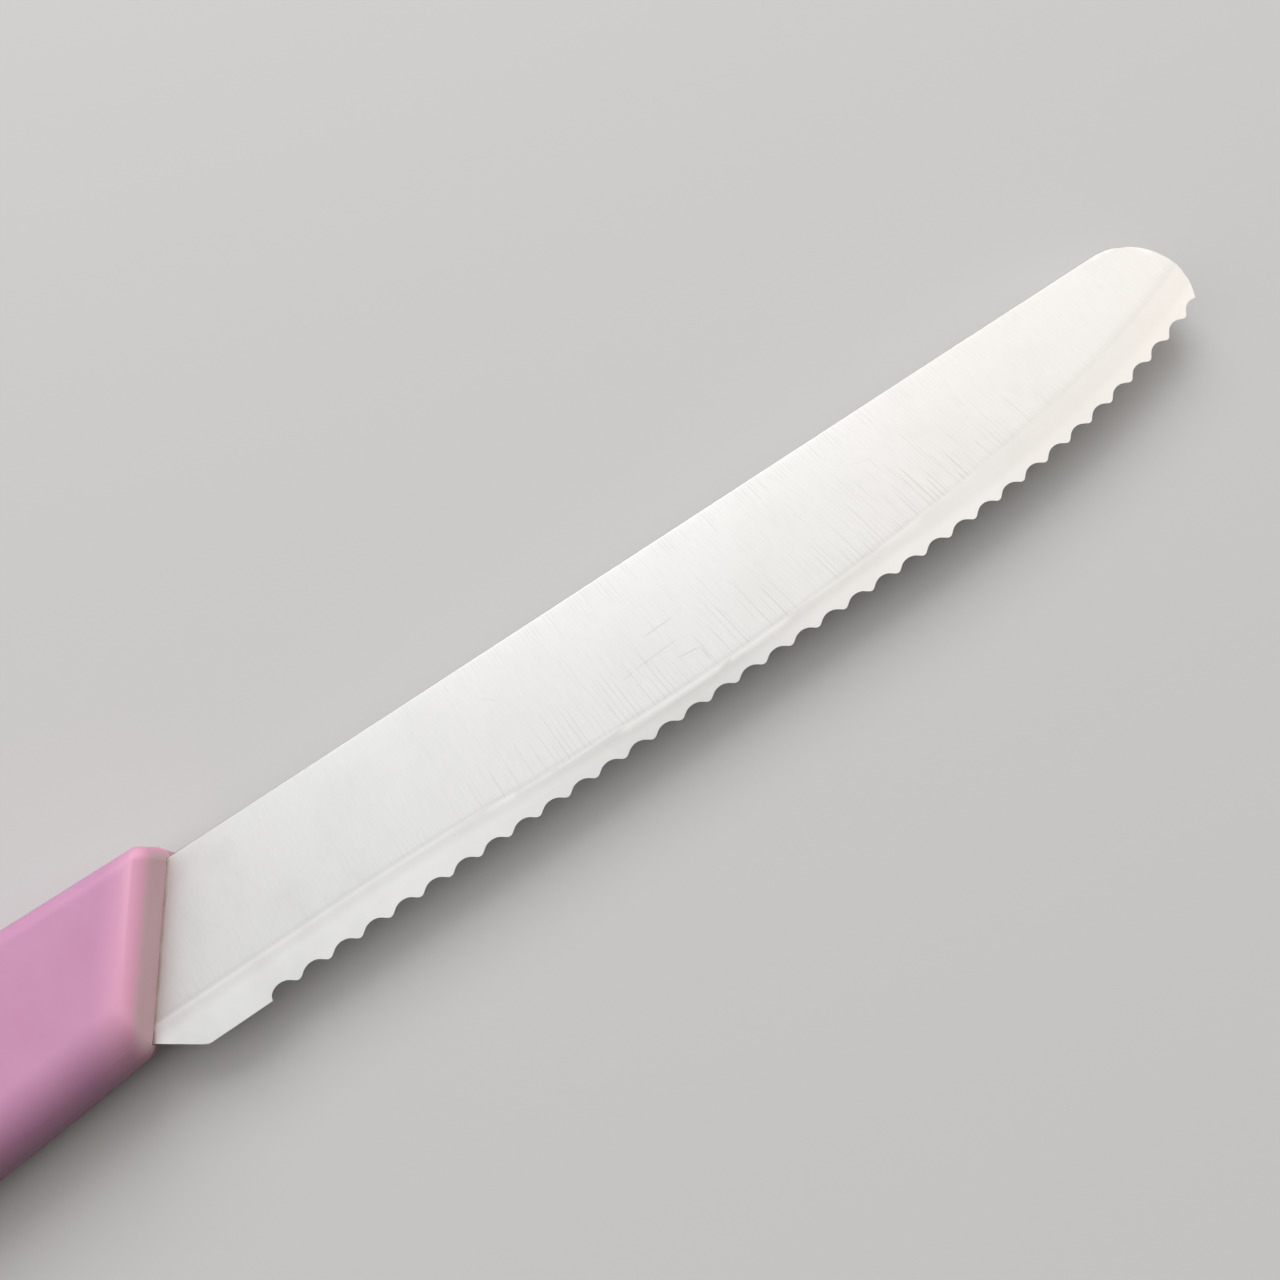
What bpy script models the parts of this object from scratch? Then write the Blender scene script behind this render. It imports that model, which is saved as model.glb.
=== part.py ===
"""Table knife: a serrated, round-tipped steel blade whose tang is held in a one-piece moulded handle.

The knife lies on its side. X runs along the blade towards its tip, Y across it towards the spine and
Z through its thickness. Shapes are drawn in the blade's own middle plane, with x = 0 where the spine
leaves the handle and y = 0 on the spine, and the empty "knife" carries them to their place: the
origin is the middle of the knife's footprint, on the surface that it lies on. All sizes are metres.
"""

import math

import bmesh
import bpy
from mathutils import Vector

# Blade
BLADE_LENGTH = 0.1090
BLADE_HEIGHT = 0.0153
BLADE_THICKNESS = 0.0012
TIP_RADIUS = 0.0061
HEEL_SETBACK = 0.0044
HEEL_ANGLE = math.radians(35)
HEEL_RADIUS = 0.0004

# Cutting edge: straight, then a belly of two arcs that rises to the tip
EDGE_THICKNESS = 0.0004
BELLY_LENGTH = 0.0400
BELLY_NEAR_LENGTH = 0.0200
BELLY_NEAR_RADIUS = 0.160
BELLY_FAR_RADIUS = 0.103

# Ground bevel on both faces: narrower by a dip round the middle of the blade
EDGE_BEVEL = 0.0036
DIP_DEPTH = 0.0014
DIP_MIDDLE = 0.0480
DIP_REACH = 0.0380

# Wavy serration, ground from the lower face
TOOTH_PITCH = 0.0030
TOOTH_DEPTH = 0.00083
TOOTH_SETBACK = 0.00025
GULLET_RADIUS = 0.0012
TOOTH_RADIUS = 0.0004
FIRST_GULLET = 0.0030
SERRATION_ANGLE = math.radians(22)

# Tang, inside the handle
TANG_LENGTH = 0.0720
TANG_DROP = 0.0026
TANG_STEP = 0.0010
TANG_SHOULDER = 0.0060
TANG_END_RADIUS = 0.0030
TANG_CORNER_RADIUS = 0.0008
KEY_DIAMETER = 0.0042
KEY_PITCH = 0.0200
KEY_COUNT = 3

# Handle
HANDLE_LENGTH = 0.1070
HANDLE_THICKNESS = 0.0100
HANDLE_DRAFT = math.radians(3)
HANDLE_FILLET = 0.0018
HANDLE_UNDER_FILLET = 0.0042
HANDLE_FLAT_CORNER = 0.0010
FRONT_ANGLE = math.radians(58)
FRONT_RISE = 0.00175
FRONT_DEPTH = 0.01335
FRONT_TOP_RADIUS = 0.0014
FRONT_BOTTOM_RADIUS = 0.0022
BACK_RISE = 0.0025
BACK_MIDDLE = 0.0480
BACK_RADIUS = 1.500
SWELL_MIDDLE = 0.0370
SWELL_DEPTH = 0.0165
SWELL_RADIUS = 0.300
WAIST_MIDDLE = 0.0800
WAIST_DEPTH = 0.0141
WAIST_RADIUS = 0.300
BUTT_RISE = 0.0012
BUTT_DEPTH = 0.0152
BUTT_RAKE = 0.0015
BUTT_TOP_RADIUS = 0.0070
BUTT_BOTTOM_RADIUS = 0.0060

# Fit of the tang in the handle
CLEARANCE = 0.0003

# Reach of the cutting shapes and fineness of the curves
OVERCUT = 0.0020
CHORD_ERROR = 0.00001
WELD_DISTANCE = 0.000001
FILLET_STEPS = 6
EDGE_STEPS = 50
RUN_OUT_STEPS = 12
TIP_STEPS = 24
GULLET_STEPS = 8
TOOTH_STEPS = 4
ROUND_SIDES = 32
SHARP_ANGLE = math.radians(20)


def clear_scene():
    """Empties the scene that the script is opened in."""
    for thing in list(bpy.data.objects):
        bpy.data.objects.remove(thing, do_unlink=True)


def material(name, colour, metallic, roughness):
    """A Principled BSDF material."""
    made = bpy.data.materials.new(name)
    made.use_nodes = True
    shader = made.node_tree.nodes["Principled BSDF"]
    shader.inputs["Base Color"].default_value = (*colour, 1.0)
    shader.inputs["Metallic"].default_value = metallic
    shader.inputs["Roughness"].default_value = roughness
    return made


def add_object(name, shape, knife, surface=None):
    """Puts a finished bmesh under the knife's empty; a shape with no surface is only a cutter."""
    mesh = bpy.data.meshes.new(name)
    shape.to_mesh(mesh)
    shape.free()
    made = bpy.data.objects.new(name, mesh)
    bpy.context.collection.objects.link(made)
    made.parent = knife
    if surface is None:
        made.hide_render = True
        made.display_type = "WIRE"
    else:
        mesh.materials.append(surface)
        mesh.shade_smooth()
        mesh.set_sharp_from_angle(angle=SHARP_ANGLE)
    return made


def cut(target, cutter):
    """Subtracts one object from another with a live Boolean."""
    modifier = target.modifiers.new(cutter.name, "BOOLEAN")
    modifier.operation = "DIFFERENCE"
    modifier.solver = "EXACT"
    modifier.object = cutter


def rounded_outline(corners, insets=None):
    """Points of a closed anticlockwise outline with each (x, y, radius) corner rounded.

    Each side, from its corner to the next one, can be drawn inset towards the inside by its own
    amount. The outline has as many points as it has at full size.
    """
    insets = insets or [0.0] * len(corners)
    points = []
    for index, (x, y, radius) in enumerate(corners):
        here = Vector((x, y))
        arriving = (here - Vector(corners[index - 1][:2])).normalized()
        leaving = (Vector(corners[(index + 1) % len(corners)][:2]) - here).normalized()
        turn = math.atan2(arriving.x * leaving.y - arriving.y * leaving.x, arriving.dot(leaving))
        first, last = insets[index - 1], insets[index]
        slide = first * math.tan(turn / 2)
        if first != last:
            slide += (last - first) / math.sin(turn)
        corner = here + arriving.orthogonal() * first - arriving * slide
        if not radius:
            points.append(corner)
            continue
        side = math.copysign(1.0, turn)
        arc = max(radius - side * (first + last) / 2, min(radius, HANDLE_FLAT_CORNER))
        inward = (arriving.orthogonal() + leaving.orthogonal()).normalized()
        centre = corner + inward * side * arc / math.cos(turn / 2)
        begin = math.atan2(-side * arriving.x, side * arriving.y)
        steps = max(2, math.ceil(abs(turn) * math.sqrt(radius / (8 * CHORD_ERROR))))
        for step in range(steps + 1):
            angle = begin + turn * step / steps
            points.append(centre + arc * Vector((math.cos(angle), math.sin(angle))))
    return points


def stack(rings):
    """A closed solid through a list of rings with as many points each, the first and last filled."""
    shape = bmesh.new()
    layers = [[shape.verts.new(point) for point in ring] for ring in rings]
    count = len(layers[0])
    for lower, upper in zip(layers, layers[1:]):
        for index in range(count):
            following = (index + 1) % count
            shape.faces.new((lower[index], lower[following], upper[following], upper[index]))
    shape.faces.new(list(reversed(layers[0])))
    shape.faces.new(layers[-1])
    bmesh.ops.remove_doubles(shape, verts=shape.verts, dist=WELD_DISTANCE)
    bmesh.ops.recalc_face_normals(shape, faces=shape.faces)
    return shape


def plate(outline, thickness):
    """A flat plate on both sides of the middle plane."""
    return stack([[(x, y, z) for x, y in outline] for z in (-thickness / 2, thickness / 2)])


def edge_at(distance):
    """Place on the line of the tooth tips and the unit normal into the blade there.

    Distance runs along the line from x = 0: straight, then along the two arcs of the belly.
    """
    start = BLADE_LENGTH - BELLY_LENGTH
    base = TOOTH_SETBACK - BLADE_HEIGHT
    near = min(max(distance - start, 0.0), BELLY_NEAR_LENGTH)
    far = max(distance - start - BELLY_NEAR_LENGTH, 0.0)
    near_turn = near / BELLY_NEAR_RADIUS
    turn = near_turn + far / BELLY_FAR_RADIUS
    x = min(distance, start) + BELLY_NEAR_RADIUS * math.sin(near_turn)
    y = base + BELLY_NEAR_RADIUS * (1 - math.cos(near_turn))
    x += BELLY_FAR_RADIUS * (math.sin(turn) - math.sin(near_turn))
    y += BELLY_FAR_RADIUS * (math.cos(near_turn) - math.cos(turn))
    return Vector((x, y)), Vector((-math.sin(turn), math.cos(turn)))


def along_edge(distance, inward, height):
    """A point at a distance along the edge, a depth into the blade and a height over its middle."""
    place, normal = edge_at(distance)
    return Vector((*(place + normal * inward), height))


def tip_centre():
    """Middle of the blade's round tip."""
    return Vector((BLADE_LENGTH - TIP_RADIUS, -TIP_RADIUS))


def run_out(inward):
    """Distance along the edge at which a line drawn a depth into the blade meets the round tip."""
    inside = BLADE_LENGTH - TIP_RADIUS
    outside = BLADE_LENGTH + TIP_RADIUS
    while outside - inside > WELD_DISTANCE / 2:
        middle = (inside + outside) / 2
        if (along_edge(middle, inward, 0.0).xy - tip_centre()).length < TIP_RADIUS:
            inside = middle
        else:
            outside = middle
    return inside


def tip_turn(inward):
    """Angle about the tip's middle at which a line drawn a depth into the blade meets the round tip."""
    place = along_edge(run_out(inward), inward, 0.0).xy - tip_centre()
    return math.atan2(place.y, place.x)


def depth_at(point):
    """How deep inside the line of the tooth tips a point of the round tip lies."""
    place, normal = edge_at(BLADE_LENGTH)
    return BELLY_FAR_RADIUS - (point - place - normal * BELLY_FAR_RADIUS).length


def bevel_depth(distance):
    """How far the ground bevel reaches into the blade, at a distance along the edge."""
    share = min(abs(distance - DIP_MIDDLE) / DIP_REACH, 1.0)
    return EDGE_BEVEL - DIP_DEPTH * (1 + math.cos(math.pi * share)) / 2


def half_thickness(depth, reach):
    """Half the blade's thickness at a depth on the ground bevel, where the bevel has a certain reach."""
    return EDGE_THICKNESS / 2 + (BLADE_THICKNESS - EDGE_THICKNESS) / 2 * depth / reach


def tooth_line():
    """Serration profile as (distance along the edge, depth into the blade), from heel to tip.

    Each gullet is an arc, each tooth a smaller arc, and the flanks between them touch both.
    """
    radii = GULLET_RADIUS + TOOTH_RADIUS
    half = TOOTH_PITCH / 2
    rest = radii - TOOTH_DEPTH
    flank = math.asin(min(radii / math.hypot(half, rest), 1.0)) - math.atan2(rest, half)
    count = 1 + int((run_out(0.0) - FIRST_GULLET) / TOOTH_PITCH)
    points = []
    for index in range(count):
        middle = FIRST_GULLET + index * TOOTH_PITCH
        first = -math.pi / 2 if index == 0 else -flank
        last = math.pi / 2 if index == count - 1 else flank
        for step in range(GULLET_STEPS + 1):
            angle = first + (last - first) * step / GULLET_STEPS
            depth = TOOTH_DEPTH - GULLET_RADIUS * (1 - math.cos(angle))
            points.append((middle + GULLET_RADIUS * math.sin(angle), depth))
        if index == count - 1:
            break
        for step in range(TOOTH_STEPS + 1):
            angle = flank - 2 * flank * step / TOOTH_STEPS
            depth = TOOTH_RADIUS * (1 - math.cos(angle))
            points.append((middle + half - TOOTH_RADIUS * math.sin(angle), depth))
    return points


def serration_cutter():
    """Everything outside the tooth line, cut at a slant that opens on the lower face only."""
    profile = tooth_line()
    reach = BLADE_HEIGHT
    outside = [(profile[0][0], -reach)] + profile + [(profile[-1][0], -reach)]
    slope = 1 / math.tan(SERRATION_ANGLE)
    top = EDGE_THICKNESS / 2
    rings = []
    for height in (-BLADE_THICKNESS, BLADE_THICKNESS):
        shift = slope * (top - height)
        rings.append([along_edge(distance, depth + shift, height) for distance, depth in outside])
    return stack(rings)


def blade_corners(inward=-TOOTH_SETBACK, grow=0.0):
    """Corners round the tang and down to the heel, with the edge a depth into the blade.

    The tang's lower side stays clear of the ground bevel. The corners can be drawn grown all round.
    """
    slope = math.tan(HEEL_ANGLE)
    tang_top = grow - TANG_DROP
    tang_bottom = TOOTH_SETBACK + EDGE_BEVEL + TANG_STEP - BLADE_HEIGHT - grow
    rise = inward + TOOTH_SETBACK
    heel = -HEEL_SETBACK - grow / math.sin(HEEL_ANGLE)
    return [
        (-TANG_SHOULDER - grow, grow, TANG_CORNER_RADIUS),
        (-TANG_SHOULDER - grow, tang_top, TANG_CORNER_RADIUS),
        (-TANG_LENGTH - grow, tang_top, TANG_END_RADIUS),
        (-TANG_LENGTH - grow, tang_bottom, TANG_END_RADIUS),
        (heel - (BLADE_HEIGHT + tang_bottom) / slope, tang_bottom, TANG_CORNER_RADIUS),
        (heel - rise / slope, rise - BLADE_HEIGHT, HEEL_RADIUS),
    ]


def blade_ring(inward, side):
    """Outline of the blank on its upper side, 1, or lower side, -1, with its edge a depth into the blade.

    The edge stays on the ground bevel: it goes no deeper than where the flat face begins. Round the
    tip it climbs the bevel up to there.
    """
    start = DIP_MIDDLE - DIP_REACH
    end = run_out(inward)
    edge = []
    for step in range(EDGE_STEPS + 1):
        distance = start + (end - start) * step / EDGE_STEPS
        reach = bevel_depth(distance)
        depth = min(inward, reach)
        edge.append(along_edge(distance, depth, side * half_thickness(depth, reach)))
    first = tip_turn(inward)
    flat = tip_turn(EDGE_BEVEL)
    turns = [first + (flat - first) * step / RUN_OUT_STEPS for step in range(1, RUN_OUT_STEPS + 1)]
    turns += [flat + (math.pi / 2 - flat) * step / TIP_STEPS for step in range(1, TIP_STEPS + 1)]
    tip = []
    for index, turn in enumerate(turns):
        place = tip_centre() + TIP_RADIUS * Vector((math.cos(turn), math.sin(turn)))
        depth = depth_at(place) if index < RUN_OUT_STEPS else inward
        tip.append(Vector((*place, side * half_thickness(depth, EDGE_BEVEL))))
    ends = [(*edge[0].xy, 0.0), (*tip[-1].xy, 0.0)]
    root = rounded_outline(blade_corners(inward) + ends)[:-len(ends)]
    height = side * half_thickness(inward, EDGE_BEVEL)
    return [Vector((*corner, height)) for corner in root] + edge + tip


def blade_blank():
    """The blade before it is serrated: full thickness at the spine, bevelled on both faces at the edge."""
    return stack([
        blade_ring(EDGE_BEVEL, -1),
        blade_ring(-TOOTH_SETBACK, -1),
        blade_ring(-TOOTH_SETBACK, 1),
        blade_ring(EDGE_BEVEL, 1),
    ])


def key_pins(diameter, length):
    """Round posts at the tang's holes."""
    shape = bmesh.new()
    tang_bottom = BLADE_HEIGHT - TOOTH_SETBACK - EDGE_BEVEL - TANG_STEP
    height = -(TANG_DROP + tang_bottom) / 2
    first = -(TANG_SHOULDER + TANG_LENGTH) / 2 - KEY_PITCH * (KEY_COUNT - 1) / 2
    for index in range(KEY_COUNT):
        made = bmesh.ops.create_cone(
            shape, cap_ends=True, segments=ROUND_SIDES, radius1=diameter / 2, radius2=diameter / 2, depth=length
        )
        bmesh.ops.translate(shape, verts=made["verts"], vec=(first + index * KEY_PITCH, height, 0.0))
    return shape


def handle_corners():
    """Side outline of the handle, anticlockwise from the top of its slanted front."""
    lean = math.tan(FRONT_ANGLE)
    return [
        (FRONT_RISE / lean, FRONT_RISE, FRONT_TOP_RADIUS),
        (-BACK_MIDDLE, BACK_RISE, BACK_RADIUS),
        (-HANDLE_LENGTH + BUTT_RAKE, BUTT_RISE, BUTT_TOP_RADIUS),
        (-HANDLE_LENGTH, -BUTT_DEPTH, BUTT_BOTTOM_RADIUS),
        (-WAIST_MIDDLE, -WAIST_DEPTH, WAIST_RADIUS),
        (-SWELL_MIDDLE, -SWELL_DEPTH, SWELL_RADIUS),
        (-FRONT_DEPTH / lean, -FRONT_DEPTH, FRONT_BOTTOM_RADIUS),
    ]


def wall_height(fillet):
    """Height over the parting plane at which the drafted wall passes into a rounding."""
    return HANDLE_THICKNESS / 2 - fillet * (1 - math.sin(HANDLE_DRAFT))


def wall_inset(height, fillet):
    """How far the moulding's side lies inside its parting line, at a height over the parting plane."""
    wall = wall_height(fillet)
    drawn_in = min(height, wall) * math.tan(HANDLE_DRAFT)
    sine = math.sin(HANDLE_DRAFT) + max(height - wall, 0.0) / fillet
    return drawn_in + fillet * (math.cos(HANDLE_DRAFT) - math.sqrt(max(1 - sine * sine, 0.0)))


def section_heights():
    """Heights over the parting plane of the sections that shape one half of the moulding."""
    heights = []
    for fillet in (HANDLE_UNDER_FILLET, HANDLE_FILLET):
        wall = wall_height(fillet)
        heights = [height for height in heights if height < wall]
        for step in range(FILLET_STEPS + 1):
            angle = HANDLE_DRAFT + (math.pi / 2 - HANDLE_DRAFT) * step / FILLET_STEPS
            heights.append(wall + fillet * (math.sin(angle) - math.sin(HANDLE_DRAFT)))
    return heights


def handle_section(z):
    """Outline of the moulding at a height over its parting plane, or under it."""
    side = wall_inset(abs(z), HANDLE_FILLET)
    under = wall_inset(abs(z), HANDLE_UNDER_FILLET)
    insets = [side, side, side, under, under, under, side]
    return [(x, y, z) for x, y in rounded_outline(handle_corners(), insets)]


def handle_body():
    """The moulding's outer shape: both halves drafted from the parting plane and rounded over."""
    heights = section_heights()
    return stack([handle_section(z) for z in [-height for height in reversed(heights)] + [0.0] + heights])


def tang_pocket():
    """Room for the tang and the blade's root, open at the handle's front."""
    corners = blade_corners(grow=CLEARANCE)
    ahead = FRONT_RISE / math.tan(FRONT_ANGLE) + OVERCUT
    corners += [(ahead, -BLADE_HEIGHT, 0.0), (ahead, CLEARANCE, 0.0)]
    return plate(rounded_outline(corners), BLADE_THICKNESS + 2 * CLEARANCE)


def knife_place():
    """Where the drawing's origin lies, so that the knife rests on z = 0 with its footprint centred."""
    outline = rounded_outline(handle_corners())
    low_x = min(point.x for point in outline)
    low_y = min(min(point.y for point in outline), -BLADE_HEIGHT)
    high_y = max(point.y for point in outline)
    return (-(low_x + BLADE_LENGTH) / 2, -(low_y + high_y) / 2, HANDLE_THICKNESS / 2)


def main():
    clear_scene()
    steel = material("satin_stainless_steel", (0.78, 0.78, 0.77), 1.0, 0.38)
    plastic = material("lilac_pink_plastic", (0.58, 0.30, 0.48), 0.0, 0.42)

    knife = bpy.data.objects.new("knife", None)
    knife.location = knife_place()
    bpy.context.collection.objects.link(knife)

    blade = add_object("blade", blade_blank(), knife, steel)
    cut(blade, add_object("key_holes", key_pins(KEY_DIAMETER, BLADE_THICKNESS + OVERCUT), knife))
    cut(blade, add_object("serration", serration_cutter(), knife))

    handle = add_object("handle", handle_body(), knife, plastic)
    pocket = add_object("tang_pocket", tang_pocket(), knife)
    keys = key_pins(KEY_DIAMETER - 2 * CLEARANCE, BLADE_THICKNESS + 2 * CLEARANCE + OVERCUT)
    cut(pocket, add_object("keys", keys, knife))
    cut(handle, pocket)


main()
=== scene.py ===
"""Looks of a table knife: a cross-ground steel blade in a moulded plastic handle."""
import logging
import math
from collections.abc import Callable
from dataclasses import dataclass
from enum import Enum

import bpy
from mathutils import Matrix, Vector


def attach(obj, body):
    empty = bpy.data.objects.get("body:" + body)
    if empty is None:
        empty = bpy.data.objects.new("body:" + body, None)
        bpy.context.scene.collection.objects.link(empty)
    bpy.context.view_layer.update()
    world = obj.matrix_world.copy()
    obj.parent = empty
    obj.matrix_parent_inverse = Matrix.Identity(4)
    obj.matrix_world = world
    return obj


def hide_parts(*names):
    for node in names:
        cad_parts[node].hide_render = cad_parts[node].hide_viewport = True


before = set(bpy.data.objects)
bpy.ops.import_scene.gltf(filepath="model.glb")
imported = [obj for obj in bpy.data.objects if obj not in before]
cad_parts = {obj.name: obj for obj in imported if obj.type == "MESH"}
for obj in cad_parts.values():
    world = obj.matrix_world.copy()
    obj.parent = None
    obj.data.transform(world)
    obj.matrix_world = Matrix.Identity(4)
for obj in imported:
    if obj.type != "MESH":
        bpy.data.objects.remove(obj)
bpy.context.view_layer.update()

MM = 0.001
LOG = logging.getLogger("table_knife")
# Where the spine leaves the handle, on the blade's middle plane, in metres
SPINE_START = Vector((-0.00130018, 0.00667156, 0.005))
# Angle of the handle's front to the knife's length, in degrees
FRONT_ANGLE = 58.0
# Distance in metres under which two points are one place
SAME_PLACE = 1e-6
# Radius in metres of the disc that every outline starts as
DISC_RADIUS = 0.01
Socket = bpy.types.NodeSocket
Number = float | bpy.types.NodeSocket
Colour = tuple | bpy.types.NodeSocket


class Slot(Enum):
    """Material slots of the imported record."""

    STEEL = "steel"
    PLASTIC = "plastic"


def deselect() -> None:
    """Leave nothing selected in object mode."""
    if bpy.context.object and bpy.context.object.mode != "OBJECT":
        bpy.ops.object.mode_set(mode="OBJECT")
    bpy.ops.object.select_all(action="DESELECT")


def take(piece: bpy.types.Object) -> None:
    """Make one object the only selected and the active one.

    Args:
        piece: The object to work on.
    """
    deselect()
    piece.select_set(True)
    bpy.context.view_layer.objects.active = piece


def edit(piece: bpy.types.Object, kind: str = "FACE") -> None:
    """Enter edit mode on one object with nothing selected.

    Args:
        piece: The object to edit.
        kind: VERT, EDGE or FACE selection.
    """
    take(piece)
    bpy.ops.object.mode_set(mode="EDIT")
    bpy.ops.mesh.select_mode(type=kind)
    bpy.ops.mesh.select_all(action="DESELECT")


def pick(piece: bpy.types.Object, kind: str, wanted: Callable[..., bool]) -> None:
    """Select the vertices or faces of the edited mesh that a test accepts.

    Args:
        piece: The object in edit mode.
        kind: VERT or FACE.
        wanted: Test that is given a vertex's place, or a face's middle and its normal.
    """
    bpy.ops.object.mode_set(mode="OBJECT")
    mesh = piece.data
    for group in (mesh.vertices, mesh.edges, mesh.polygons):
        group.foreach_set("select", [False] * len(group))
    if kind == "VERT":
        for vertex in mesh.vertices:
            vertex.select = wanted(vertex.co)
    else:
        for face in mesh.polygons:
            face.select = wanted(face.center, face.normal)
    bpy.ops.object.mode_set(mode="EDIT")
    bpy.ops.mesh.select_mode(type=kind)


def apply_modifier(piece: bpy.types.Object, kind: str, **settings: object) -> None:
    """Add a modifier, set it and apply it.

    Args:
        piece: The object that gets it.
        kind: Blender's name of the modifier's type.
        settings: Values of the modifier's own properties.
    """
    take(piece)
    bpy.ops.object.modifier_add(type=kind)
    modifier = piece.modifiers[-1]
    for name, value in settings.items():
        setattr(modifier, name, value)
    bpy.ops.object.modifier_apply(modifier=modifier.name)


def smooth(piece: bpy.types.Object, angle: float) -> None:
    """Shade a piece smooth but for its edges over an angle, weighted by face area.

    Args:
        piece: The object to shade.
        angle: Largest turn, in degrees, that is still smooth.
    """
    take(piece)
    bpy.ops.object.shade_smooth_by_angle(angle=math.radians(angle))
    apply_modifier(piece, "WEIGHTED_NORMAL", keep_sharp=True, weight=80)


def round_profile(turn: float) -> float:
    """Bevel profile value whose middle lies on a true arc.

    Args:
        turn: How far the outline turns at the corner, in radians.

    Returns:
        The bevel operator's profile value.
    """
    half = turn / 2
    share = (1 / math.cos(half) - 1) / (2 * math.tan(half) * math.sin(half))
    return (1 - share) ** 2


@dataclass(frozen=True)
class Heel:
    """The blade's slanted heel, in millimetres from where the spine leaves the handle, and degrees."""

    x: float = -4.4
    y: float = -15.3
    angle: float = 35.0

    def slope(self) -> float:
        """How far the heel falls for each unit along the blade."""
        return math.tan(math.radians(self.angle))


@dataclass(frozen=True)
class Tang:
    """The tang and its holes, in millimetres from where the spine leaves the handle."""

    end: float = -72.0
    end_radius: float = 3.0
    shoulder: float = -6.0
    top: float = -2.6
    bottom: float = -10.45
    half_thickness: float = 0.6
    hole_radius: float = 2.1
    hole_y: float = -6.525
    hole_places: tuple[float, ...] = (-59.0, -39.0, -19.0)


@dataclass(frozen=True)
class Corner:
    """One corner of a flat outline, in millimetres from where the spine leaves the handle."""

    x: float
    y: float
    radius: float = 0.0
    steps: int = 8

    def place(self, origin: Vector) -> Vector:
        """Where the corner is in the frame, on the blade's middle plane."""
        return origin + Vector((self.x, self.y, 0.0)) * MM


def flat_outline(name: str, corners: list[Corner], origin: Vector) -> bpy.types.Object:
    """Make one flat face from a disc whose points are moved to the corners and rounded there.

    Args:
        name: The new object's name.
        corners: The outline, anticlockwise.
        origin: Where the outline's zero lies.

    Returns:
        The object, a single face that looks up.
    """
    deselect()
    count = len(corners)
    bpy.ops.mesh.primitive_circle_add(vertices=count, radius=DISC_RADIUS, fill_type="NGON", location=origin)
    piece = bpy.context.object
    piece.name = name
    piece.data.name = name
    bpy.ops.object.transform_apply(location=True, rotation=True, scale=True)
    edit(piece, "VERT")
    turned = [vertex.co.copy() for vertex in piece.data.vertices]
    order = sorted(range(count), key=lambda index: math.atan2(
        turned[index].y - origin.y, turned[index].x - origin.x))
    for index, corner in zip(order, corners):
        start = turned[index]
        pick(piece, "VERT", lambda place, start=start: (place - start).length < SAME_PLACE)
        bpy.ops.transform.translate(value=corner.place(origin) - start)
    for index, corner in enumerate(corners):
        if corner.radius:
            here = corner.place(origin)
            before = (here - corners[index - 1].place(origin)).normalized()
            after = (corners[(index + 1) % count].place(origin) - here).normalized()
            turn = before.angle(after)
            pick(piece, "VERT", lambda place, here=here: (place - here).length < SAME_PLACE)
            bpy.ops.mesh.bevel(
                offset_type="ABSOLUTE", offset=corner.radius * MM * math.tan(turn / 2),
                segments=corner.steps, profile=round_profile(turn), affect="VERTICES",
            )
    pick(piece, "FACE", lambda middle, normal: normal.z < 0)
    bpy.ops.mesh.flip_normals()
    bpy.ops.object.mode_set(mode="OBJECT")
    return piece


def cut(piece: bpy.types.Object, cutter: bpy.types.Object) -> None:
    """Take a cutter's shape out of a piece and remove the cutter.

    Args:
        piece: The object to cut.
        cutter: The closed shape that is taken away.
    """
    apply_modifier(piece, "BOOLEAN", operation="DIFFERENCE", solver="EXACT", object=cutter)
    bpy.data.objects.remove(cutter)


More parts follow.
